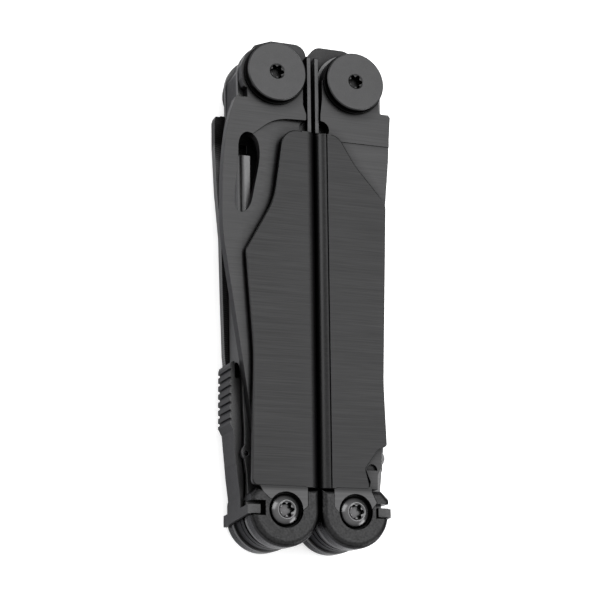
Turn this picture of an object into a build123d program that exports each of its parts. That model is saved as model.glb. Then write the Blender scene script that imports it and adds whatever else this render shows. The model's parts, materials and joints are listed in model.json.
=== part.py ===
from build123d import *
import math
import os

# Folding pocket multi-tool, closed: two handles lie side by side around a folded plier head.
# Millimetres. X runs across the tool, Y along it towards the plier pivots, Z up through its thickness.
# Everything is first drawn about the mid-plane (Z = 0) and then lifted to stand on its rear discs.

# ---------------------------------------------------------------- driving dimensions
PIVOT_X = 8.47          # plier-end pivots, either side of the centre line
PIVOT_Y = 43.75
END_X = 7.06            # inner-tool pivots at the other end: the handles taper
END_Y = -43.75
HANDLE_R_TOP = 7.1      # round end of a handle at the plier pivot
HANDLE_R_END = 6.95     # round end of a handle at the tool pivot
HANDLE_EDGE = 0.35      # inner edge of a handle from the centre line

CHANNEL_HALF = 3.5      # clear half-width between the channel walls
SHEET = 1.0             # channel sheet
WALL_TOP = CHANNEL_HALF + SHEET
BLADE_LOW = 4.65        # outer blades lie between the wall and the cover plate
BLADE_HIGH = 6.85
PLATE_LOW = 7.1
PLATE_HIGH = 8.1
DISC_LOW = 7.25
DISC_HIGH = 8.67
DISC_R = 6.16
HALF_THICKNESS = DISC_HIGH

PIN_R = 2.0             # pivot barrel
RUNNING = 0.05          # radial clearance of a part that turns on a pin
SCREW_R = 1.2
SEAT_R = 3.42           # counterbore of an end screw
HEAD_R = 3.07
HEAD_HIGH = 8.4
DOME_R = 4.14           # sphere that the domed head is turned to
DOME_FLAT_R = 1.8
DRIVE_R = 1.5           # six-lobe recess of the screws and barrels
DRIVE_DEPTH = 1.7

RIVET_Y = 22.5          # plier rivet
LAP_R = 7.2             # round lap joint of the plier halves
JAW_TIP_Y = -12.5
JAW_HALF = 3.4          # half thickness of the plier head
SWEEP_R = 11.3          # clear circle round the plier pivot, where the tangs swing past the web

TOOL_R = 6.6            # round tang of an inner tool
WASHER_R = 6.25         # spacer between two inner tools
BIG = 60.0

FRONT_PIVOT = (-PIVOT_X, PIVOT_Y)
END_PIVOT = (-END_X, END_Y)


# ---------------------------------------------------------------- small helpers
def polygon(*points):
    """Closed outline through the points, always wound the same way so that outlines add up."""
    ahead = points[1:] + points[:1]
    area = sum(a[0] * b[1] - b[0] * a[1] for a, b in zip(points, ahead))
    return make_face(Polyline(*(points if area > 0 else points[::-1]), close=True))


def rounded(points, radius):
    face = polygon(*points)
    return fillet(face.vertices(), radius)


def smooth(*corners):
    """Closed outline whose corners, each (x, y, radius), run into tangent arcs."""
    return make_face(FilletPolyline(*[corner[:2] for corner in corners],
                                    radius=[corner[2] for corner in corners], close=True))


def disc(centre, radius):
    return Pos(centre[0], centre[1]) * Circle(radius)


def slab(face, low, high):
    return extrude(Pos(0, 0, low) * face, amount=high - low, dir=(0, 0, 1))


def post(centre, radius, low, high):
    return slab(disc(centre, radius), low, high)


def ring(centre, outer, inner, low, high):
    return slab(disc(centre, outer) - disc(centre, inner), low, high)


def block(x0, x1, y0, y1, z0, z1):
    box = Box(x1 - x0, y1 - y0, z1 - z0, align=(Align.MIN, Align.MIN, Align.MIN))
    return Pos(x0, y0, z0) * box


def along_y(section, low, high):
    """Extrude a section drawn in X and Z along the length of the tool."""
    return extrude(Pos(0, low, 0) * (Plane.XZ * section), amount=high - low, dir=(0, 1, 0))


def bridge(centre_a, radius_a, centre_b, radius_b):
    """The outline of a belt round two circles."""
    dx, dy = centre_b[0] - centre_a[0], centre_b[1] - centre_a[1]
    length = math.hypot(dx, dy)
    heading = math.atan2(dy, dx)
    lean = math.acos((radius_a - radius_b) / length)
    corners = []
    for centre, radius, turn in ((centre_a, radius_a, lean), (centre_b, radius_b, lean),
                                 (centre_b, radius_b, -lean), (centre_a, radius_a, -lean)):
        angle = heading + turn
        corners.append((centre[0] + radius * math.cos(angle), centre[1] + radius * math.sin(angle)))
    return polygon(*corners) + disc(centre_a, radius_a) + disc(centre_b, radius_b)


def star(centre, radius):
    """Six-lobe driver recess."""
    shape = disc(centre, 0.72 * radius)
    for lobe in range(6):
        angle = math.radians(60 * lobe)
        spot = (centre[0] + 0.72 * radius * math.cos(angle), centre[1] + 0.72 * radius * math.sin(angle))
        shape += disc(spot, 0.28 * radius)
    return shape


def drive_recess(centre, face_z, radius, depth):
    """Six-lobe recess with a countersunk rim, sunk into a face that looks up."""
    rim = Pos(centre[0], centre[1], face_z - 0.1) * Cone(0.88 * radius, 1.12 * radius, 0.24)
    return rim + slab(star(centre, radius), face_z - depth, BIG)


def rear(solid):
    return mirror(solid, about=Plane.XY)


def turned(solid):
    """The same piece on the other handle: half a turn about the long axis."""
    return Rot(0, 180, 0) * solid


def across(solid):
    """The mirror image on the other handle."""
    return mirror(solid, about=Plane.YZ)


# ---------------------------------------------------------------- channel
def outer_x(y, inset=0.0):
    """Outer side of the left handle, which tapers from the plier pivot to the tool pivot."""
    top, end = -PIVOT_X - HANDLE_R_TOP, -END_X - HANDLE_R_END
    share = (PIVOT_Y - y) / (PIVOT_Y - END_Y)
    return top + share * (end - top) + inset


def handle_outline():
    body = polygon((outer_x(PIVOT_Y), PIVOT_Y), (outer_x(END_Y), END_Y),
                   (-HANDLE_EDGE, END_Y), (-HANDLE_EDGE, PIVOT_Y - 2.0))
    return body + disc(FRONT_PIVOT, HANDLE_R_TOP) + disc(END_PIVOT, HANDLE_R_END)


LOCK_ROOT_Y = -8.0      # where the liner lock bends
LOCK_WIDTH_X = -4.4
LOCK_SHOULDER_Y = 36.0
LIP_OUT_X = -1.2
LIP_IN_X = -0.45
LIP_LOW_Y = 32.2
LIP_HIGH_Y = 49.0
LIP_HIGH_Z = 6.2
LOCK_GAP = 0.25

WEB_END_Y = -17.6       # the web stops where the lock lever begins
WINDOW_Y = (26.7, 31.8)
SLOT_R = 3.1            # round top of the lever's opening
EDGE_LINE = ((-14.8, -17.6), (-14.7, -19.8), (-14.1, -28.2), (-14.1, -34.2), (-13.65, -37.0), (-13.6, -40.6),
             (-13.75, -41.0), (-13.75, -46.2))      # walls beside the lever
FULCRUM = (-13.8, -32.9)
EAR = (-13.0, -32.7)
EAR_R = 1.7
LEVER_PIN_R = 0.5


def lock_outline(gap=0.0):
    """Plan of the liner lock leaf: a wide spring and a narrow finger beside the blade tang."""
    wide = polygon((LOCK_WIDTH_X - gap, LOCK_ROOT_Y - gap), (-HANDLE_EDGE + gap, LOCK_ROOT_Y - gap),
                   (-HANDLE_EDGE + gap, LOCK_SHOULDER_Y + gap), (LOCK_WIDTH_X - gap, LOCK_SHOULDER_Y + gap))
    finger = polygon((LIP_OUT_X - gap, LOCK_SHOULDER_Y - 1.0), (-HANDLE_EDGE + gap, LOCK_SHOULDER_Y - 1.0),
                     (-HANDLE_EDGE + gap, LIP_HIGH_Y + gap), (LIP_OUT_X - gap, LIP_HIGH_Y + gap))
    return wide + finger


def bend_cut(radius=1.3):
    """What the press brake rounds off along the outer corner of the channel."""
    lean = math.degrees(math.atan2(outer_x(END_Y) - outer_x(PIVOT_Y), PIVOT_Y - END_Y))
    web_top = 35.7
    length = web_top - WEB_END_Y
    middle_y = (web_top + WEB_END_Y) / 2
    bar = Box(radius, length, radius, align=(Align.MIN, Align.CENTER, Align.MAX))
    core = Rot(90, 0, 0) * Cylinder(radius, length + 1)
    cut = bar - Pos(radius, 0, -radius) * core
    return Pos(outer_x(middle_y), middle_y, WALL_TOP) * Rot(0, 0, lean) * cut


def lever_opening():
    """What is cut from the outer side of the walls for the lock lever, apart from the ears on its pin."""
    top, end = EDGE_LINE[0], EDGE_LINE[-1]
    plan = polygon((-20, top[1]), *EDGE_LINE, (-20, end[1])) - disc(EAR, EAR_R)
    return slab(plan, -BIG, BIG)


def channel():
    outline = handle_outline()
    wall = slab(outline, CHANNEL_HALF, WALL_TOP) - slab(lock_outline(LOCK_GAP), 0, BIG)
    for centre in (FRONT_PIVOT, END_PIVOT):
        wall -= post(centre, PIN_R, 0, BIG)
    thumb_slot = block(-12.9, -10.9, 13.6, WINDOW_Y[0] + 1, 0, BIG)
    ear = slab(disc(EAR, EAR_R), CHANNEL_HALF, WALL_TOP)
    wall = wall - thumb_slot - lever_opening() + ear
    web_top = 36.5
    web = slab(polygon((outer_x(web_top), web_top), (outer_x(WEB_END_Y), WEB_END_Y),
                       (outer_x(WEB_END_Y, SHEET), WEB_END_Y), (outer_x(web_top, SHEET), web_top)),
               -CHANNEL_HALF, CHANNEL_HALF)
    web -= post(FRONT_PIVOT, SWEEP_R, -BIG, BIG)
    web -= Pos(-20, WEB_END_Y, 0) * (Rot(0, 90, 0) * Cylinder(SLOT_R, 20))
    body = wall + rear(wall) + web - bend_cut() - rear(bend_cut())
    window = block(-BIG, -11.0, WINDOW_Y[0], WINDOW_Y[1], 1.2, BIG)
    body -= window
    body -= rear(window)
    return body - post(FULCRUM, LEVER_PIN_R, -BIG, BIG)


def liner_lock():
    leaf = slab(lock_outline(), CHANNEL_HALF, WALL_TOP) - block(LIP_IN_X, -0.3, LIP_LOW_Y, BIG, 0, BIG)
    lip = block(LIP_OUT_X, LIP_IN_X, LIP_LOW_Y, LIP_HIGH_Y, WALL_TOP - 0.01, LIP_HIGH_Z)
    tips = lip.edges().filter_by(Axis.X).sort_by(Axis.Z)[-2:]
    lip = fillet(tips, 0.5)
    return leaf + lip


# ---------------------------------------------------------------- cover plates
PLATE_TOP_Y = 31.9
PLATE_END_Y = -39.4
BEAD_R = 1.95
BEAD_SIDE = 0.15        # bead's side face from the centre line
BEAD_LOW = WALL_TOP + 0.65  # leaves room for the liner lock to spring up
SEAM_X = -2.15
SEAM_DEPTH = 0.45       # fine groove along the bead of the saw's plate


def bead():
    """Rolled inner edge of a cover plate, which closes the blade slot down to the liner lock."""
    corner_x = -BEAD_SIDE - BEAD_R
    corner_z = PLATE_HIGH - BEAD_R
    bend = disc((corner_x, corner_z), BEAD_R) - disc((corner_x, corner_z), BEAD_R - SHEET)
    quarter = bend & polygon((corner_x, corner_z), (0, corner_z), (0, PLATE_HIGH + 1), (corner_x, PLATE_HIGH + 1))
    side = polygon((-BEAD_SIDE - SHEET, BEAD_LOW), (-BEAD_SIDE, BEAD_LOW),
                   (-BEAD_SIDE, corner_z), (-BEAD_SIDE - SHEET, corner_z))
    flat = polygon((corner_x - 1.0, PLATE_LOW), (corner_x, PLATE_LOW), (corner_x, PLATE_HIGH),
                   (corner_x - 1.0, PLATE_HIGH))
    return along_y(quarter + side + flat, PLATE_END_Y, PLATE_TOP_Y)


KNIFE_TONGUE = ((-12.5, -38.9), (-11.5, -40.6), (-10.2, -41.7), (-3.6, -43.7), (-2.7, -42.9), (-2.7, -38.9))
SAW_TONGUE = ((-10.4, -38.9), (-10.4, -39.9), (-11.4, -41.9), (-10.3, -43.3), (-3.5, -43.85), (-2.7, -42.9),
              (-2.7, -38.9))
TONGUE_HIGH = PLATE_HIGH - 0.08
TONGUE_GAP = 0.06


def tongue(points):
    """Thin end of the plate, clamped under the end screw."""
    return slab(polygon(*points), PLATE_LOW, TONGUE_HIGH)


def pocket(points):
    """The space in the bolster for the plate's thin end and the screw's head."""
    return slab(offset(polygon(*points), TONGUE_GAP, kind=Kind.INTERSECTION), PLATE_LOW, BIG) \
        + post(END_PIVOT, SEAT_R, PLATE_LOW, BIG)


def finish_plate(face, tongue_points):
    plate = slab(face, PLATE_LOW, PLATE_HIGH)
    rim = plate.faces().sort_by(Axis.Z)[-1].edges().filter_by(lambda edge: edge.center().X < -2.2)
    plate = chamfer(rim, 0.2) + bead() + tongue(tongue_points)
    return plate - post(END_PIVOT, SEAT_R, 0, BIG)


def knife_plate():
    return finish_plate(smooth((-2.1, PLATE_TOP_Y, 0), (-7.0, PLATE_TOP_Y, 3.2), (-9.0, 17.3, 16), (-15.0, 6.3, 2.0),
                               (-13.42, -14.0, 60), (-13.8, PLATE_END_Y, 1.2), (-2.1, PLATE_END_Y, 0)), KNIFE_TONGUE)


def saw_plate():
    plate = finish_plate(smooth((-2.1, PLATE_TOP_Y, 0), (-4.6, PLATE_TOP_Y, 3.0), (-8.2, 25.9, 14),
                                (-14.75, 18.4, 2.6), (-13.4, -18.5, 60), (-13.8, -30.8, 0.7), (-11.95, -31.6, 1.6),
                                (-9.2, -35.4, 1.2), (-9.95, -38.6, 0.8), (-9.7, PLATE_END_Y, 0),
                                (-2.1, PLATE_END_Y, 0)), SAW_TONGUE)
    return plate - block(SEAM_X - 0.14, SEAM_X + 0.14, PLATE_END_Y - 1, PLATE_TOP_Y + 1, PLATE_HIGH - SEAM_DEPTH, BIG)


# ---------------------------------------------------------------- bolsters and hardware
NOTCH_Y = (-44.9, -42.1)    # takes the front hook of the lock lever's crossbar
NOTCH_X = -11.15
STEP_Y = (-46.3, -39.0)     # room for the rear end of the crossbar
STEP_X = -13.6
CORNER_X = -13.9


def bolster(tongue_points):
    top_y = PLATE_END_Y - 0.15
    outline = disc(END_PIVOT, HANDLE_R_END) + polygon((-12.6, top_y), (-BEAD_SIDE, top_y), (-BEAD_SIDE, END_Y),
                                                      (-14.05, END_Y), (-14.3, -41.3))
    outline &= polygon((-BIG, top_y), (BIG, top_y), (BIG, -BIG), (-BIG, -BIG))
    body = slab(outline, WALL_TOP + 0.02, PLATE_HIGH)
    rim = body.faces().sort_by(Axis.Z)[-1].edges()
    body = fillet(rim, 1.25) - pocket(tongue_points) - block(-BIG, CORNER_X, NOTCH_Y[1] - 1, top_y, 0, BIG)
    return body - post(END_PIVOT, PIN_R + 0.02, 0, BIG)


def front_bolster(tongue_points):
    return bolster(tongue_points) - block(-BIG, NOTCH_X, NOTCH_Y[0], NOTCH_Y[1], WALL_TOP - 1, BIG)


def rear_bolster(tongue_points):
    return rear(bolster(tongue_points) - block(-BIG, STEP_X, STEP_Y[0], STEP_Y[1], WALL_TOP - 1, BIG))


def pivot_screw():
    head = post(FRONT_PIVOT, DISC_R, DISC_LOW, DISC_HIGH)
    head = chamfer(head.edges().filter_by(GeomType.CIRCLE).sort_by(Axis.Z)[-1], 0.22)
    shank = post(FRONT_PIVOT, SCREW_R, -5.0, DISC_LOW)
    return head + shank - drive_recess(FRONT_PIVOT, DISC_HIGH, DRIVE_R, DRIVE_DEPTH)


def pivot_barrel():
    head = post(FRONT_PIVOT, DISC_R, DISC_LOW, DISC_HIGH)
    head = chamfer(head.edges().filter_by(GeomType.CIRCLE).sort_by(Axis.Z)[-1], 0.22)
    head -= drive_recess(FRONT_PIVOT, DISC_HIGH, DRIVE_R, DRIVE_DEPTH)
    barrel = post(FRONT_PIVOT, PIN_R, -DISC_LOW, DISC_LOW) - post(FRONT_PIVOT, SCREW_R, -BIG, DISC_LOW - 1.9)
    return rear(head + barrel)


def pivot_washers():
    """Four thin rings: one under each disc and one between each blade tang and its wall."""
    under_disc = ring(FRONT_PIVOT, 6.45, PIN_R, BLADE_HIGH + 0.05, DISC_LOW)
    under_tang = ring(FRONT_PIVOT, 5.4, PIN_R, WALL_TOP, BLADE_LOW - 0.03)
    front = under_disc + under_tang
    return front + rear(front)


def button_head():
    """Domed head with a flat top, a countersunk rim and a six-lobe recess."""
    centre_z = HEAD_HIGH - math.sqrt(DOME_R ** 2 - DOME_FLAT_R ** 2)
    head = post(END_PIVOT, HEAD_R, PLATE_LOW, HEAD_HIGH) & Pos(END_PIVOT[0], END_PIVOT[1], centre_z) * Sphere(DOME_R)
    return head - drive_recess(END_PIVOT, HEAD_HIGH, DRIVE_R, DRIVE_DEPTH)


def end_screw():
    shank = post(END_PIVOT, SCREW_R, -5.0, PLATE_LOW)
    return button_head() + shank


def end_barrel():
    barrel = post(END_PIVOT, PIN_R, -PLATE_LOW, PLATE_LOW) - post(END_PIVOT, SCREW_R, -BIG, 5.0)
    return rear(button_head() + barrel)


def tool_washers(layers):
    """Spacer rings that fill the channel between the tangs of the inner tools."""
    rings = [ring(END_PIVOT, WASHER_R, PIN_R, low, high) for low, high in layers]
    return sum(rings[1:], rings[0])


# ---------------------------------------------------------------- lock lever
LEVER_LOW = -4.5        # front face to rear face: it lies towards the rear, clear of the blade behind it
LEVER_HIGH = 3.0
RIGHT_LEVER_HIGH = 1.6
RIB_LOW = -3.3          # its thick part is between the channel walls
PAD_OUT_X = -16.6
RIGHT_PAD_OUT_X = -16.1
PAD_Y = (-27.0, -15.8)
RIDGES = 7
STEM_OUTER = ((-15.85, -28.4), (-15.05, -36.9), (-14.5, -41.2), (-14.5, -45.0))
SKIRT_INNER = ((-13.85, -45.0), (-13.85, -37.0), (-14.3, -35.5), (-14.95, -34.4), (-15.2, -28.2), (-15.6, -15.5))
CROSSBAR_HALF = 7.4
HOOK_Z = (5.6, 7.4)


def lock_lever(pad_x, high):
    """Rocking lever on the outer side of a handle: ridged pad, stem, and a crossbar that spans the thickness."""
    pad = ((-15.65, -14.8), (pad_x + 0.2, -15.1), (pad_x, PAD_Y[1]), (pad_x, PAD_Y[0]))
    body = slab(polygon(*pad, *STEM_OUTER, *SKIRT_INNER), LEVER_LOW, high)
    rib = polygon((-15.9, -18.2), (-14.2, -18.2), (-14.2, -34.6), (-13.9, -36.6), (-14.6, -36.6), (-15.4, -34.6),
                  (-15.9, -28.0))
    arm = polygon((-15.2, FULCRUM[1] + 0.9), (FULCRUM[0], FULCRUM[1] + 0.9), (FULCRUM[0], FULCRUM[1] - 0.9),
                  (-15.2, FULCRUM[1] - 0.9))
    body += slab(rib + arm + disc(FULCRUM, 0.9), RIB_LOW, high)
    pitch = (PAD_Y[1] - PAD_Y[0]) / RIDGES
    for ridge in range(RIDGES):
        y = PAD_Y[0] + 0.2 + pitch * ridge
        floor_x = pad_x + 0.35
        groove = polygon((pad_x - 1, y - 0.15), (floor_x, y + 0.35), (floor_x, y + 0.75), (pad_x - 1, y + 1.25))
        body -= slab(groove, -BIG, BIG)
    side = Plane.YZ * polygon((-42.9, CROSSBAR_HALF), (-44.6, CROSSBAR_HALF), (-45.7, -CROSSBAR_HALF),
                              (-43.5, -CROSSBAR_HALF))
    body += Pos(-14.5, 0, 0) * extrude(side, amount=0.65, dir=(1, 0, 0))
    hook = block(-14.0, -11.95, -44.5, -42.8, HOOK_Z[0], HOOK_Z[1])
    return body + hook - post(FULCRUM, LEVER_PIN_R + RUNNING, -BIG, BIG)


def lever_pin():
    return post(FULCRUM, LEVER_PIN_R, -WALL_TOP, WALL_TOP)


# ---------------------------------------------------------------- outer blades
BLADE_MID = (BLADE_LOW + BLADE_HIGH) / 2


def ground(blade, area, edge_x, spine_x, edge_half=0.18):
    """Grind both faces of a blade from the spine line down to a thin edge, within an area."""
    full = (BLADE_HIGH - BLADE_LOW) / 2
    wedge = polygon((spine_x, BLADE_MID + full), (edge_x, BLADE_MID + edge_half), (edge_x + 3, BLADE_MID + edge_half),
                    (edge_x + 3, BLADE_MID + 3), (spine_x, BLADE_MID + 3))
    upper = along_y(wedge, -BIG, BIG) & slab(area, 0, 20)
    blade -= upper
    return blade - mirror(upper, about=Plane.XY.offset(BLADE_MID))


def knife_outline():
    spine = Spline((-16.75, 37.8), (-17.75, 34.7), (-18.7, 29.6), (-19.3, 22.3), (-19.4, 15.0), (-19.0, 8.0),
                   tangents=[(-0.35, -1), (0.12, -1)])
    clip = Line((-19.0, 8.0), (-13.0, -29.2))
    belly = Spline((-13.0, -29.2), (-9.6, -27.6), (-4.9, -18.0), (-2.75, 0.0), tangents=[(1, -0.1), (0.03, 1)])
    edge = Polyline((-2.75, 0.0), (-2.4, 33.4), (-1.75, 34.2), (-1.75, 36.0), (-2.4, 38.0), (-2.4, PIVOT_Y))
    tang = Polyline((-2.4, PIVOT_Y), (FRONT_PIVOT[0], PIVOT_Y + 3), (-12.2, 49.2), (-13.4, 48.3), (-14.65, 47.05),
                    (-15.2, 45.8), (-15.45, 45.0), (-15.4, 42.2), (-15.0, 40.6), (-14.2, 40.1), (-14.2, 38.2),
                    (-16.45, 38.3), (-16.75, 37.8))
    return make_face(spine + clip + belly + edge + tang) + disc(FRONT_PIVOT, 6.25)


def thumb_hole():
    return make_face(Spline((-13.98, 30.83), (-12.4, 30.0), (-11.65, 27.9), (-11.8, 24.2), (-12.9, 18.6),
                            (-14.3, 14.8), (-15.45, 14.15), (-16.5, 14.8), (-16.8, 16.0), (-16.45, 21.7),
                            (-16.1, 26.5), (-15.75, 29.5), periodic=True))


def knife():
    outline = knife_outline() - thumb_hole() - disc((-15.3, 39.2), 1.1) - disc((-1.5, 33.4), 1.45)
    blade = slab(outline, BLADE_LOW, BLADE_HIGH) - post(FRONT_PIVOT, PIN_R + RUNNING, 0, BIG)
    arc = Spline((-20.0, 26.0), (-12.6, 31.0), (-9.5, 33.4), (-2.3, 34.7), tangents=[(1, 0.6), (1, 0.03)])
    area = make_face(arc + Polyline((-2.3, 34.7), (0, 34.7), (0, -40), (-20, -40), (-20.0, 26.0)))
    return ground(blade, area, -2.6, -15.4)


def serrated_knife():
    blade = knife()
    teeth = 17
    for tooth in range(teeth):
        y = 30.5 - 2.0 * tooth
        radius = 1.15 if tooth % 3 else 1.5
        blade -= post((-2.15 - 0.006 * (31 - y), y), radius, 0, 20)
    return blade


KICK_NOTCH = (-1.3, 33.1)   # round hollow where the cutting edge meets the tang
KICK_NOTCH_R = 1.87
SAW_LINE_Y = 31.05      # the saw and the file are ground thinner below this line


def long_blade_outline():
    shoulder_y = 38.0
    spine = Spline((-16.3, 33.0), (-15.5, 22.0), (-14.6, 12.0), (-13.6, -5.0), (-13.3, -30.0),
                   tangents=[(0.02, -1), (0, -1)])
    tip = Polyline((-13.3, -30.0), (-13.0, -34.9), (-12.25, -36.3), (-12.15, -39.2), (-10.45, -39.1), (-10.75, -37.7),
                   (-9.8, -35.4), (-5.2, -28.0), (-2.7, -20.0), (-2.4, 32.0), (-1.35, 33.6), (-1.35, 36.2),
                   (-1.75, 39.8), (-1.75, PIVOT_Y))
    tang = Polyline((-1.75, PIVOT_Y), (-PIVOT_X, PIVOT_Y + 2), (-14.1, PIVOT_Y - 1), (-14.2, shoulder_y + 0.7),
                    (-14.6, shoulder_y), (-16.2, shoulder_y), (-16.65, shoulder_y - 0.5), (-16.3, 33.0))
    return make_face(spine + tip + tang) + disc(FRONT_PIVOT, 6.5) - disc(KICK_NOTCH, KICK_NOTCH_R)


def nail_nick():
    """Half-round hollow near the tip, for a fingernail."""
    hollow = (Pos(-11.1, -35.5) * Ellipse(1.1, 1.2)) & polygon((-13, -35.5), (-9, -35.5), (-9, -33), (-13, -33))
    return slab(hollow, BLADE_HIGH - 0.8, BIG)


def saw():
    blade = slab(long_blade_outline(), BLADE_LOW, BLADE_HIGH) - post(FRONT_PIVOT, PIN_R + RUNNING, 0, BIG)
    recess = block(-BIG, 0, -BIG, SAW_LINE_Y, BLADE_HIGH - 0.15, BIG)
    blade -= recess
    blade -= mirror(recess, about=Plane.XY.offset(BLADE_MID))
    pitch = 1.9
    for tooth in range(26):
        y = 30.5 - pitch * tooth
        blade -= slab(polygon((-2.3, y), (-2.3, y - pitch), (-3.75, y - 0.62 * pitch)), 0, 20)
    return blade - nail_nick()


def file():
    tang_notch_r = 1.05
    wide = polygon((outer_x(30) - 1.9, 37.8), (outer_x(30) - 2.15, 36.9), (-17.4, 30.8), (-16.9, 21.6),
                   (-16.0, 12.4), (-15.6, -0.9), (-15.2, -12.0), (-13.3, -30.0), (-10.0, -10.0), (-10.0, 37.8))
    outline = long_blade_outline() + wide
    blade = slab(outline, BLADE_LOW, BLADE_HIGH) - post(FRONT_PIVOT, PIN_R + RUNNING, 0, BIG)
    relief = block(-BIG, 0, -BIG, SAW_LINE_Y, BLADE_HIGH - 0.12, BIG)
    blade -= relief
    blade -= mirror(relief, about=Plane.XY.offset(BLADE_MID))
    blade -= post((-14.6, 39.9), tang_notch_r, 0, 20)
    return blade - nail_nick()


# ---------------------------------------------------------------- plier head
def tang_outline():
    """Plier half from the tang that fills the handle's end to the lap joint at the rivet."""
    edge = -0.4
    side = outer_x(40, 0.12)
    shape = smooth((side, 36.3, 1.0), (side, 44.4, 1.0), (-11.6, 51.0, 1.0), (-8.0, 52.4, 1.0), (edge, 52.4, 2.5),
                   (edge, 40.0, 1.0), (-9.0, 34.0, 1.0))
    arm = bridge(FRONT_PIVOT, 5.2, (0.0, RIVET_Y), 6.0) & polygon((-20, RIVET_Y + 1), (edge + 0.25, RIVET_Y + 1),
                                                                  (edge + 0.25, 53), (-20, 53))
    return shape + arm


def nose_outline():
    """Needle nose on the right of the centre line, with a gripping hollow."""
    outline = Polyline((0.12, RIVET_Y - 1), (0.12, JAW_TIP_Y), (1.7, JAW_TIP_Y), (2.3, JAW_TIP_Y + 1.2),
                       (3.5, 1.0), (5.6, 13.5), (6.4, RIVET_Y - 1), (0.12, RIVET_Y - 1))
    hollow = Pos(0.0, 2.6) * Ellipse(1.5, 3.6)
    return make_face(outline) - hollow


def plier_half():
    """Left tang, lap joint below the mid-plane, right nose."""
    tang = slab(tang_outline(), -JAW_HALF, JAW_HALF)
    nose = slab(nose_outline(), -JAW_HALF, JAW_HALF)
    shave = extrude(Plane.YZ * polygon((16.0, JAW_HALF + 0.02), (JAW_TIP_Y - 1, 1.9), (JAW_TIP_Y - 1, BIG),
                                       (16.0, BIG)), amount=BIG, both=True)
    nose = nose - shave - rear(shave)
    teeth = 12
    for tooth in range(teeth):
        y = JAW_TIP_Y + 0.8 + 0.9 * tooth
        nose -= slab(polygon((0.0, y - 0.4), (0.5, y), (0.0, y + 0.4)), -BIG, BIG)
    rivet = (0.0, RIVET_Y)
    half = tang + nose - post(rivet, LAP_R + 0.15, -0.05, BIG)
    half += slab(disc(rivet, LAP_R), -JAW_HALF, -0.05)
    half -= post(rivet, 2.6 + RUNNING, -BIG, BIG)
    half -= post(FRONT_PIVOT, PIN_R + RUNNING, -BIG, BIG)
    half -= cutter_pocket()
    return half


CUTTER_Y = (8.4, 14.6)
CUTTER_HALF = 1.6


def cutter_pocket():
    return block(-1, 3.2, CUTTER_Y[0], CUTTER_Y[1], -CUTTER_HALF, CUTTER_HALF) + cutter_bore()


def cutter_bore():
    middle = (CUTTER_Y[0] + CUTTER_Y[1]) / 2
    return Pos(5.0, middle, 0) * (Rot(0, 90, 0) * Cylinder(0.8, 7)) \
        + Pos(6.2, middle, 0) * (Rot(0, 90, 0) * Cylinder(1.35, 3.0))


def cutter():
    """Replaceable wire-cutter blade, ground to an edge on the centre line."""
    body = block(0.12, 3.2, CUTTER_Y[0], CUTTER_Y[1], -CUTTER_HALF, CUTTER_HALF)
    for side in (1, -1):
        grind = polygon((0.1, side * 0.25), (0.1, side * 3), (1.6, side * 3), (1.6, side * CUTTER_HALF))
        body -= along_y(grind, 0, 20)
    middle = (CUTTER_Y[0] + CUTTER_Y[1]) / 2
    return body - Pos(5.0, middle, 0) * (Rot(0, 90, 0) * Cylinder(0.8, 7))


def cutter_screw():
    middle = (CUTTER_Y[0] + CUTTER_Y[1]) / 2
    shank = Pos(3.6, middle, 0) * (Rot(0, 90, 0) * Cylinder(0.8, 4.0))
    head = Pos(5.05, middle, 0) * (Rot(0, 90, 0) * Cylinder(1.35, 0.7))
    slot = block(5.15, 6, middle - 2, middle + 2, -0.2, 0.2)
    return shank + head - slot


def plier_rivet():
    return post((0.0, RIVET_Y), 2.6, -JAW_HALF, JAW_HALF)


# ---------------------------------------------------------------- inner tools
def tool_tang(low, high):
    return post(END_PIVOT, TOOL_R, low, high)


def tool_bore(solid):
    return solid - post(END_PIVOT, PIN_R + RUNNING, -BIG, BIG)


LEFT_LAYERS = {"driver": (-3.3, -0.2), "scissors": (0.15, 3.3)}
RIGHT_LAYERS = {"opener": (-3.35, -1.75), "screwdriver": (-1.3, 0.1), "small_driver": (0.55, 3.3)}


def bit_driver():
    low, high = LEFT_LAYERS["driver"]
    arm = rounded(((-12.7, -45.0), (-4.2, -45.0), (-4.2, -20.0), (-5.6, -12.6), (-11.4, -12.6), (-12.8, -20.0)), 1.2)
    body = tool_tang(low, high) + slab(arm, low, high)
    body -= block(-10.9, -6.3, -33.6, 0, low + 0.55, high - 0.55)
    body -= block(-10.3, -6.9, -30.0, -16.0, high - 1, BIG)
    return tool_bore(body)


def driver_bit():
    """Flat double-ended bit in the driver's socket."""
    low, high = LEFT_LAYERS["driver"]
    blank = rounded(((-10.85, -33.5), (-6.35, -33.5), (-6.35, -8.0), (-7.2, -2.2), (-10.0, -2.2), (-10.85, -8.0)), 0.5)
    return slab(blank, low + 0.6, high - 0.6)


def bit_spring():
    high = LEFT_LAYERS["driver"][1]
    clip = block(-10.1, -7.1, -29.8, -16.2, high - 0.55, high - 0.05)
    return clip - block(-9.2, -8.0, -27.0, -19.0, -BIG, BIG)


SCISSOR_PIVOT = (-9.2, -20.0)


def scissor_blade():
    """Lower scissor half, which carries the tang."""
    low = LEFT_LAYERS["scissors"][0]
    high = low + 1.5
    arm = rounded(((-12.7, -45.0), (-6.6, -45.0), (-6.3, -24.0), (-6.3, -16.0), (-8.6, -1.4), (-9.6, -1.4),
                   (-12.2, -18.0)), 0.45)
    blade = tool_tang(low, high) + slab(arm, low, high)
    return tool_bore(blade) - post(SCISSOR_PIVOT, 1.2, -BIG, BIG)


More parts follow.
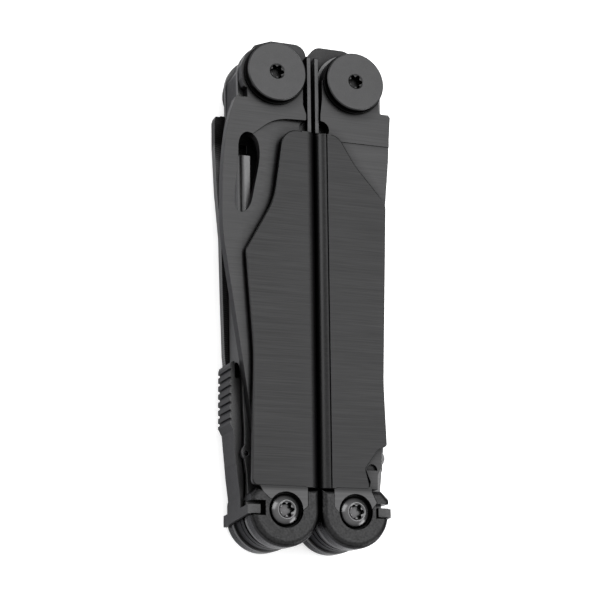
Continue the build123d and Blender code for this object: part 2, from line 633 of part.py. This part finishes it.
def scissor_lever():
    """Upper scissor half: cutting blade above the rivet and a thumb lever below it."""
    low, high = LEFT_LAYERS["scissors"][0] + 1.6, LEFT_LAYERS["scissors"][1]
    shape = rounded(((-12.0, -16.5), (-8.9, -1.4), (-8.1, -1.4), (-6.9, -17.0), (-4.0, -24.0), (-3.4, -36.2),
                     (-5.4, -36.6), (-8.2, -25.5), (-11.8, -22.6)), 0.4)
    return slab(shape, low, high) - post(SCISSOR_PIVOT, 1.2 + RUNNING, -BIG, BIG)


def scissor_rivet():
    low, high = LEFT_LAYERS["scissors"]
    return post(SCISSOR_PIVOT, 1.2, low, high)


def scissor_spring():
    low = LEFT_LAYERS["scissors"][0] + 1.6
    strip = rounded(((-12.5, -36.5), (-11.9, -36.5), (-9.2, -27.6), (-9.7, -27.0)), 0.2)
    return slab(strip, low, low + 1.3)


def can_opener():
    low, high = RIGHT_LAYERS["opener"]
    outline = rounded(((-12.7, -45.0), (-4.4, -45.0), (-4.2, -30.0), (-4.6, -17.0), (-6.6, -10.5), (-9.5, -7.2),
                       (-12.3, -6.4), (-13.1, -9.0), (-11.8, -12.2), (-9.9, -14.0), (-10.6, -17.6), (-12.7, -19.4)),
                      0.4)
    body = tool_tang(low, high) + slab(outline, low, high)
    body -= post((-6.0, -12.0), 1.5, -BIG, BIG)
    body -= slab(polygon((-13.6, -21.0), (-11.4, -22.6), (-13.6, -23.6)), -BIG, BIG)
    return tool_bore(body)


def screwdriver():
    low, high = RIGHT_LAYERS["screwdriver"]
    outline = rounded(((-12.7, -45.0), (-4.8, -45.0), (-6.4, -30.0), (-7.4, -12.0), (-7.0, -6.2), (-11.4, -6.2),
                       (-11.2, -12.0), (-12.4, -30.0)), 0.3)
    body = tool_tang(low, high) + slab(outline, low, high)
    for side in (1, -1):
        taper = polygon((-12.0, (low + high) / 2 + side * 0.7), (-6.0, (low + high) / 2 + side * 0.35),
                        (-6.0, (low + high) / 2 + side * 3), (-12.0, (low + high) / 2 + side * 3))
        body -= extrude(Plane.YZ * taper, amount=BIG, both=True)
    return tool_bore(body)


def small_bit_driver():
    low, high = RIGHT_LAYERS["small_driver"]
    arm = rounded(((-12.7, -45.0), (-5.0, -45.0), (-6.2, -30.0), (-6.8, -16.0), (-11.4, -16.0), (-12.4, -30.0)), 0.5)
    body = tool_tang(low, high) + slab(arm, low, high)
    body -= block(-10.35, -7.85, -27.0, 0, low + 0.5, high - 0.5)
    return tool_bore(body)


def small_bit():
    low, high = RIGHT_LAYERS["small_driver"]
    middle = (low + high) / 2
    blank = rounded(((-10.3, -26.9), (-7.9, -26.9), (-7.9, -12.0), (-8.5, -5.4), (-9.7, -5.4), (-10.3, -12.0)), 0.25)
    return slab(blank, middle - 0.85, middle + 0.85)


# ---------------------------------------------------------------- assembly
def build():
    """Every piece in its own place, still drawn about the mid-plane."""
    parts = {}
    mirrored = {
        "channel": channel(), "pivot_screw": pivot_screw(), "pivot_barrel": pivot_barrel(),
        "pivot_washers": pivot_washers(), "end_screw": end_screw(), "end_barrel": end_barrel(),
        "lever_pin": lever_pin(),
    }
    for name, solid in mirrored.items():
        parts["left_" + name] = solid
        parts["right_" + name] = across(solid)
    parts["left_lock_lever"] = lock_lever(PAD_OUT_X, LEVER_HIGH)
    parts["right_lock_lever"] = across(lock_lever(RIGHT_PAD_OUT_X, RIGHT_LEVER_HIGH))
    parts["left_front_bolster"] = front_bolster(KNIFE_TONGUE)
    parts["left_rear_bolster"] = rear_bolster(SAW_TONGUE)
    parts["right_front_bolster"] = across(front_bolster(SAW_TONGUE))
    parts["right_rear_bolster"] = across(rear_bolster(KNIFE_TONGUE))
    turned_over = {
        "knife_plate": knife_plate(), "blade_plate": rear(saw_plate()),
        "knife_liner_lock": liner_lock(), "blade_liner_lock": rear(liner_lock()),
    }
    for name, solid in turned_over.items():
        parts["left_" + name] = solid
        parts["right_" + name] = turned(solid)
    parts["knife"] = knife()
    parts["file"] = rear(file())
    parts["serrated_knife"] = turned(serrated_knife())
    parts["saw"] = turned(rear(saw()))

    parts["left_jaw"] = plier_half()
    parts["right_jaw"] = turned(plier_half())
    parts["plier_rivet"] = plier_rivet()
    parts["left_jaw_cutter"] = cutter()
    parts["right_jaw_cutter"] = turned(cutter())
    parts["left_jaw_cutter_screw"] = cutter_screw()
    parts["right_jaw_cutter_screw"] = turned(cutter_screw())

    left = LEFT_LAYERS
    parts["left_tool_washers"] = tool_washers([(-CHANNEL_HALF, left["driver"][0]),
                                               (left["driver"][1], left["scissors"][0]),
                                               (left["scissors"][0] + 1.5, CHANNEL_HALF)])
    parts["bit_driver"] = bit_driver()
    parts["driver_bit"] = driver_bit()
    parts["bit_spring"] = bit_spring()
    parts["scissor_blade"] = scissor_blade()
    parts["scissor_lever"] = scissor_lever()
    parts["scissor_rivet"] = scissor_rivet()
    parts["scissor_spring"] = scissor_spring()

    right = RIGHT_LAYERS
    parts["right_tool_washers"] = turned(tool_washers([(-CHANNEL_HALF, right["opener"][0]),
                                                       (right["opener"][1], right["screwdriver"][0]),
                                                       (right["screwdriver"][1], right["small_driver"][0]),
                                                       (right["small_driver"][1], CHANNEL_HALF)]))
    parts["can_opener"] = turned(can_opener())
    parts["screwdriver"] = turned(screwdriver())
    parts["small_bit_driver"] = turned(small_bit_driver())
    parts["small_bit"] = turned(small_bit())
    return parts


def home():
    """Lift the model onto its rear discs, with the origin under the centre of its outline."""
    parts = build()
    boxes = [solid.bounding_box() for solid in parts.values()]
    middle = [(min(b.min.X for b in boxes) + max(b.max.X for b in boxes)) / 2,
              (min(b.min.Y for b in boxes) + max(b.max.Y for b in boxes)) / 2]
    shift = Pos(-middle[0], -middle[1], HALF_THICKNESS)
    return {name: shift * solid for name, solid in parts.items()}, shift


os.makedirs("parts", exist_ok=True)
PARTS, SHIFT = home()
for node, solid in PARTS.items():
    export_step(solid, os.path.join("parts", node + ".step"))
print(len(PARTS), "pieces; mid-plane origin moved to", SHIFT.position)
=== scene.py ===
import json
import math

import bpy
from mathutils import Matrix, Vector


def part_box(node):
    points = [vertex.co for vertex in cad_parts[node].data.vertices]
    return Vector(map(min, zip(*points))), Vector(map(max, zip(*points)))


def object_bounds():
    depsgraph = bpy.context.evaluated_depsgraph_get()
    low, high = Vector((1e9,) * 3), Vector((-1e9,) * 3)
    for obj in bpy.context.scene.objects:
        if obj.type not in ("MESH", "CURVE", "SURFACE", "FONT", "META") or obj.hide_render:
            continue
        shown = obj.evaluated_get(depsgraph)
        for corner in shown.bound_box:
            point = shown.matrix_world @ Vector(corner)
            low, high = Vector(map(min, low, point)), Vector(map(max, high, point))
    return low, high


# Folding pocket tool in black steel, lying on its back on a pale floor. Metres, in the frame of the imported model.
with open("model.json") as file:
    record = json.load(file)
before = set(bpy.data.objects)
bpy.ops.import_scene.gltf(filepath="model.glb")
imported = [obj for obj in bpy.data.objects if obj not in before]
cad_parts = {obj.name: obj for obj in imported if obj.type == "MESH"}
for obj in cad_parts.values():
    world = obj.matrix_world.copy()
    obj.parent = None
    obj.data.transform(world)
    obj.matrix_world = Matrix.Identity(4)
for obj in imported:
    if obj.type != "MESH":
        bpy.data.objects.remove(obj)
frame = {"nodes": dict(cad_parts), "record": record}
CAD_LOW, CAD_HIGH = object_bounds()
MM = 0.001

# ---------------------------------------------------------------- camera
VIEW_AZIMUTH = 20.47        # degrees, towards the knife handle's outer side
VIEW_ELEVATION = 14.22      # degrees, towards the inner-tool end
VIEW_ROLL = -0.588
VIEW_DISTANCE = 317.40 * MM
VIEW_TARGET = Vector((-0.921, -1.693, 8.67)) * MM
LENS = 95.32

# ---------------------------------------------------------------- stage and light settings
FLOOR_HALF = 3.0            # metres
FLOOR_GAP = 0.02 * MM       # under the lowest face
FLOOR_WHITE = 0.90
FLOOR_GLOW = 0.30
SKY_LOW = 0.30              # strength of the sky at the horizon and overhead
SKY_HIGH = 1.50
LAMPS = (                   # name, place, width, height, watts; all aimed at the origin
    ("key", (0.30, 0.24, 0.80), 0.85, 0.50, 3.6),
    ("left_softbox", (-0.69, 0.38, 0.44), 0.60, 0.45, 3.6),
    ("right_softbox", (0.68, -0.56, 0.22), 0.42, 0.26, 2.1),
)

# ---------------------------------------------------------------- finish settings, frequencies in cycles per metre
ALONG_X = 0
SCRATCH = (8000, 40)        # fine scratches, across and along
STREAK = (3400, 130)        # wider streaks, across and along
CLOUD = 60
SMEAR = 900
GRAIN_COARSE = 3000
GRAIN_FINE = 5200
EDGE_RADIUS = 0.10 * MM
# reach of the painted shade in crevices
GAP_SHADE_REACH = 2.5 * MM
FILE_TEETH = 2300
FILE_SLANT = 12             # degrees
FILE_TANG = 6 * MM          # the cuts' dark end, this far below the pivot's disc
TONGUE_END = 0.5 * MM       # a plate's thin end starts this far below the bolster's edge
BLEND = 0.5 * MM


def add_camera():
    camera = bpy.data.objects.new("camera", bpy.data.cameras.new("camera"))
    bpy.context.scene.collection.objects.link(camera)
    camera.data.sensor_width = 36.0
    camera.data.lens = LENS
    camera.data.clip_start = 0.01
    azimuth, elevation, roll = (math.radians(a) for a in (VIEW_AZIMUTH, VIEW_ELEVATION, VIEW_ROLL))
    out = Vector((-math.sin(azimuth) * math.cos(elevation), -math.sin(elevation),
                  math.cos(azimuth) * math.cos(elevation)))
    right = Vector((0, 1, 0)).cross(out).normalized()
    up = out.cross(right)
    turned_right = math.cos(roll) * right + math.sin(roll) * up
    turned_up = math.cos(roll) * up - math.sin(roll) * right
    pose = Matrix((turned_right, turned_up, out)).transposed().to_4x4()
    pose.translation = VIEW_TARGET + VIEW_DISTANCE * out
    camera.matrix_world = pose
    bpy.context.scene.camera = camera


# ---------------------------------------------------------------- stage and light
def add_floor():
    half = FLOOR_HALF
    mesh = bpy.data.meshes.new("floor")
    mesh.from_pydata([(-half, -half, 0), (half, -half, 0), (half, half, 0), (-half, half, 0)], [], [(0, 1, 2, 3)])
    floor = bpy.data.objects.new("floor", mesh)
    floor.location.z = CAD_LOW.z - FLOOR_GAP
    bpy.context.scene.collection.objects.link(floor)
    material = bpy.data.materials.new("floor_paper")
    material.use_nodes = True
    shader = material.node_tree.nodes["Principled BSDF"]
    shader.inputs["Base Color"].default_value = (FLOOR_WHITE, FLOOR_WHITE, FLOOR_WHITE, 1)
    shader.inputs["Emission Color"].default_value = (1.0, 1.0, 1.0, 1)
    shader.inputs["Emission Strength"].default_value = FLOOR_GLOW
    shader.inputs["Roughness"].default_value = 0.9
    shader.inputs["Specular IOR Level"].default_value = 0.2
    mesh.materials.append(material)


def add_area(name, place, width, height, power):
    light = bpy.data.lights.new(name, "AREA")
    light.shape = "RECTANGLE"
    light.size = width
    light.size_y = height
    light.energy = power
    lamp = bpy.data.objects.new(name, light)
    lamp.location = place
    lamp.rotation_euler = (-Vector(place)).to_track_quat("-Z", "Y").to_euler()
    bpy.context.scene.collection.objects.link(lamp)


def add_light():
    """White sky that darkens towards the horizon, a soft overhead key and two side softboxes."""
    world = bpy.data.worlds.new("studio")
    world.use_nodes = True
    tree = world.node_tree
    background = tree.nodes["Background"]
    place = tree.nodes.new("ShaderNodeTexCoord")
    split = tree.nodes.new("ShaderNodeSeparateXYZ")
    ramp = tree.nodes.new("ShaderNodeMapRange")
    ramp.interpolation_type = "SMOOTHSTEP"
    ramp.inputs["From Min"].default_value = 0.05
    ramp.inputs["From Max"].default_value = 0.75
    ramp.inputs["To Min"].default_value = SKY_LOW
    ramp.inputs["To Max"].default_value = SKY_HIGH
    tree.links.new(place.outputs["Generated"], split.inputs["Vector"])
    tree.links.new(split.outputs["Z"], ramp.inputs["Value"])
    tree.links.new(ramp.outputs["Result"], background.inputs["Strength"])
    background.inputs["Color"].default_value = (1.0, 1.0, 1.0, 1)
    bpy.context.scene.world = world
    for lamp in LAMPS:
        add_area(*lamp)


# ---------------------------------------------------------------- materials
class Finish:
    """A node material under construction, with short names for the nodes that it uses."""

    def __init__(self, name):
        self.material = bpy.data.materials.new(name)
        self.material.use_nodes = True
        self.tree = self.material.node_tree
        self.shader = self.tree.nodes["Principled BSDF"]
        self.coordinates = self.tree.nodes.new("ShaderNodeTexCoord")
        self.place = self.coordinates.outputs["Object"]

    def link(self, source, target):
        self.tree.links.new(source, target)

    def noise(self, per_metre, detail=2.0, roughness=0.5):
        """Noise over the object's own space, with its frequency along X, Y and Z in cycles per metre."""
        mapping = self.tree.nodes.new("ShaderNodeMapping")
        mapping.inputs["Scale"].default_value = per_metre
        self.link(self.place, mapping.inputs["Vector"])
        noise = self.tree.nodes.new("ShaderNodeTexNoise")
        noise.inputs["Scale"].default_value = 1.0
        noise.inputs["Detail"].default_value = detail
        noise.inputs["Roughness"].default_value = roughness
        self.link(mapping.outputs["Vector"], noise.inputs["Vector"])
        return noise.outputs["Fac"]

    def spread(self, source, low, high):
        """Map the middle of a noise onto a range."""
        node = self.tree.nodes.new("ShaderNodeMapRange")
        node.inputs["From Min"].default_value = 0.3
        node.inputs["From Max"].default_value = 0.7
        node.inputs["To Min"].default_value = low
        node.inputs["To Max"].default_value = high
        self.link(source, node.inputs["Value"])
        return node.outputs["Result"]

    def math(self, operation, a, b):
        node = self.tree.nodes.new("ShaderNodeMath")
        node.operation = operation
        for socket, value in zip(node.inputs, (a, b)):
            if isinstance(value, (int, float)):
                socket.default_value = value
            else:
                self.link(value, socket)
        return node.outputs[0]

    def colour(self, tone, *factors):
        """Base colour: a grey tone multiplied by each factor."""
        value = tone
        for factor in factors:
            value = self.math("MULTIPLY", value, factor)
        combine = self.tree.nodes.new("ShaderNodeCombineColor")
        for channel, tint in zip(("Red", "Green", "Blue"), (1.0, 1.0, 1.015)):
            self.link(self.math("MULTIPLY", value, tint), combine.inputs[channel])
        self.link(combine.outputs["Color"], self.shader.inputs["Base Color"])

    def bump(self, height, strength, distance, before):
        """Relief laid over the normal that came before it."""
        node = self.tree.nodes.new("ShaderNodeBump")
        node.inputs["Strength"].default_value = strength
        node.inputs["Distance"].default_value = distance
        self.link(height, node.inputs["Height"])
        self.link(before, node.inputs["Normal"])
        self.link(node.outputs["Normal"], self.shader.inputs["Normal"])
        return node.outputs["Normal"]

    def edge(self, radius):
        """How near a point is to a sharp edge: 0 on a flat face, rising on the edge itself."""
        bevel = self.tree.nodes.new("ShaderNodeBevel")
        bevel.samples = 4
        bevel.inputs["Radius"].default_value = radius
        geometry = self.tree.nodes.new("ShaderNodeNewGeometry")
        dot = self.tree.nodes.new("ShaderNodeVectorMath")
        dot.operation = "DOT_PRODUCT"
        self.link(bevel.outputs["Normal"], dot.inputs[0])
        self.link(geometry.outputs["Normal"], dot.inputs[1])
        node = self.tree.nodes.new("ShaderNodeMapRange")
        node.inputs["From Min"].default_value = 0.995
        node.inputs["From Max"].default_value = 0.90
        self.link(dot.outputs["Value"], node.inputs["Value"])
        return node.outputs["Result"], bevel.outputs["Normal"]

    def sides(self, tone):
        """Painted light and shade by facing: 1 on faces that look up or down in the object's own space, going to a
        tone on faces that look sideways.
        """
        split = self.tree.nodes.new("ShaderNodeSeparateXYZ")
        self.link(self.coordinates.outputs["Normal"], split.inputs["Vector"])
        upright = self.math("ABSOLUTE", split.outputs["Z"], 0.0)
        node = self.tree.nodes.new("ShaderNodeMapRange")
        node.interpolation_type = "SMOOTHSTEP"
        node.inputs["From Min"].default_value = 0.15
        node.inputs["From Max"].default_value = 0.85
        node.inputs["To Min"].default_value = tone
        node.inputs["To Max"].default_value = 1.0
        self.link(upright, node.inputs["Value"])
        return node.outputs["Result"]

    def painted_gap_shade(self, distance, power):
        """Painted shade in crevices: 1 in the open, falling towards 0 deep between pieces."""
        node = self.tree.nodes.new("ShaderNodeAmbientOcclusion")
        node.samples = 8
        node.inputs["Distance"].default_value = distance
        return self.math("POWER", node.outputs["AO"], power)

    def cuts(self, per_metre, low, high):
        """File teeth: fine bands that run across the blade, a little askew."""
        mapping = self.tree.nodes.new("ShaderNodeMapping")
        mapping.inputs["Rotation"].default_value = (0, 0, math.radians(FILE_SLANT))
        self.link(self.place, mapping.inputs["Vector"])
        wave = self.tree.nodes.new("ShaderNodeTexWave")
        wave.bands_direction = "Y"
        wave.wave_profile = "SAW"
        wave.inputs["Scale"].default_value = per_metre * math.pi / 10
        wave.inputs["Distortion"].default_value = 0.0
        self.link(mapping.outputs["Vector"], wave.inputs["Vector"])
        node = self.tree.nodes.new("ShaderNodeMapRange")
        node.inputs["To Min"].default_value = low
        node.inputs["To Max"].default_value = high
        self.link(wave.outputs["Fac"], node.inputs["Value"])
        return node.outputs["Result"], wave.outputs["Fac"]

    def below(self, height, inside, beyond):
        """One tone where the object's own Y is under a height, another over it, with a short blend between."""
        split = self.tree.nodes.new("ShaderNodeSeparateXYZ")
        self.link(self.place, split.inputs["Vector"])
        node = self.tree.nodes.new("ShaderNodeMapRange")
        node.inputs["From Min"].default_value = height - BLEND
        node.inputs["From Max"].default_value = height + BLEND
        node.inputs["To Min"].default_value = inside
        node.inputs["To Max"].default_value = beyond
        self.link(split.outputs["Y"], node.inputs["Value"])
        return node.outputs["Result"]

    def metal(self, roughness):
        """Metal with a duller sheen than bare steel, its roughness taken from a node."""
        self.shader.inputs["Metallic"].default_value = 1.0
        self.shader.inputs["Specular Tint"].default_value = (0.55, 0.55, 0.56, 1)
        self.link(roughness, self.shader.inputs["Roughness"])


def steel(name, tone, roughness, brushed=None, blasted=0.0, wear=0.6, streak=0.13, side=0.4, gap_shade=1.2,
          teeth=False, tongue=1.0):
    """Black-oxide steel.

    brushed is the axis that fine scratches run along and blasted the depth of the pits; wear lightens edges, side is
    painted light and shade on faces that look sideways (under 1 darker, over 1 lighter), gap sets how strongly
    crevices get painted shade, teeth adds file cuts and tongue is the tone of a plate's thin end.
    """
    f = Finish(name)
    edge, soft_normal = f.edge(EDGE_RADIUS)
    # Painted light and shade enter the colour here: the facing factor lightens or darkens faces that look sideways
    # and the crevice factor darkens the colour between pieces.
    factors = [f.spread(f.noise([CLOUD] * 3, 3.0), 0.97, 1.03), f.sides(side), f.painted_gap_shade(GAP_SHADE_REACH, gap_shade),
               f.math("ADD", 1.0, f.math("MULTIPLY", edge, wear))]
    if teeth:
        shade, height = f.cuts(FILE_TEETH, 0.35, 1.25)
        blade_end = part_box("left_pivot_screw")[0].y
        factors += [shade, f.below(blade_end - FILE_TANG, 1.0, 0.35)]
        soft_normal = f.bump(height, 0.5, 0.1 * MM, soft_normal)
    if tongue != 1.0:
        factors.append(f.below(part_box("left_front_bolster")[1].y - TONGUE_END, tongue, 1.0))
    if brushed is not None:
        fine = f.noise([SCRATCH[axis == brushed] for axis in range(3)], 1.0)
        short = f.noise([STREAK[axis == brushed] for axis in range(3)], 2.0)
        factors.append(f.spread(fine, 1 - streak, 1 + streak))
        factors.append(f.spread(short, 1 - streak, 1 + streak))
        f.metal(f.spread(short, roughness - 0.03, roughness + 0.03))
        f.bump(fine, 0.10, 0.01 * MM, soft_normal)
    else:
        pitch = GRAIN_COARSE if blasted > 0.5 else GRAIN_FINE
        grain = f.noise([pitch] * 3, 3.0, 0.6)
        speckle = 0.10 + 0.25 * blasted
        factors.append(f.spread(grain, 1 - speckle, 1 + speckle))
        f.metal(f.spread(f.noise([SMEAR] * 3, 3.0), roughness - 0.02, roughness + 0.02))
        f.bump(grain, 0.12 + 0.7 * blasted, (0.02 + 0.05 * blasted) * MM, soft_normal)
    f.colour(tone, *factors)
    return f.material


def paint_nodes():
    # side and gap paint light and shade into each colour: the plate's side of 2.6 is a painted highlight on its
    # rolled edges, side under 1 darkens faces that look sideways, gap darkens crevices.
    plate = steel("plate_brushed", 0.0208, 0.34, brushed=ALONG_X, side=2.6, gap_shade=0.35, tongue=2.2)
    blade = steel("blade_satin", 0.0300, 0.34, brushed=ALONG_X, streak=0.10, side=0.7, wear=0.2)
    file = steel("file_cut", 0.085, 0.34, brushed=ALONG_X, streak=0.10, side=1.6, teeth=True)
    disc = steel("disc_matte", 0.0365, 0.36, side=0.3)
    bolster = steel("bolster_blasted", 0.020, 0.25, blasted=1.0, side=0.8)
    screw = steel("fastener_polished", 0.080, 0.22, wear=0.3, side=1.0, gap_shade=1.0)
    washer = steel("washer_satin", 0.013, 0.45, side=0.2)
    # the channel walls get a lighter copy of the channel steel, painted light against the shade of the recess they
    # sit in
    lightened_channel = steel("channel_outer_lightened", 0.075, 0.34, blasted=0.3, side=1.0, gap_shade=0.3)
    leaf = steel("channel_satin", 0.040, 0.30, blasted=0.3, side=1.0, gap_shade=1.0)
    lever = steel("lever_matte", 0.042, 0.38, blasted=0.3, side=0.8)
    inner = steel("inner_tool_satin", 0.015, 0.36, brushed=ALONG_X, side=0.4)
    jaw = steel("jaw_blasted", 0.025, 0.38, blasted=0.5, side=0.7)
    slots = {"plate": plate, "blade": blade, "disc": disc, "bolster": bolster, "fastener": screw, "washer": washer,
             "channel": leaf, "lever": lever, "inner_tool": inner, "jaw": jaw}
    special = {"file": file, "left_channel": lightened_channel, "right_channel": lightened_channel}
    for subpart in frame["record"]["subparts"]:
        node = frame["nodes"][subpart["node"]]
        node.data.materials.clear()
        node.data.materials.append(special.get(subpart["node"], slots[subpart["material_slot"]]))


# ---------------------------------------------------------------- everything
add_camera()
add_floor()
add_light()
paint_nodes()
bpy.context.scene.view_settings.view_transform = "Standard"
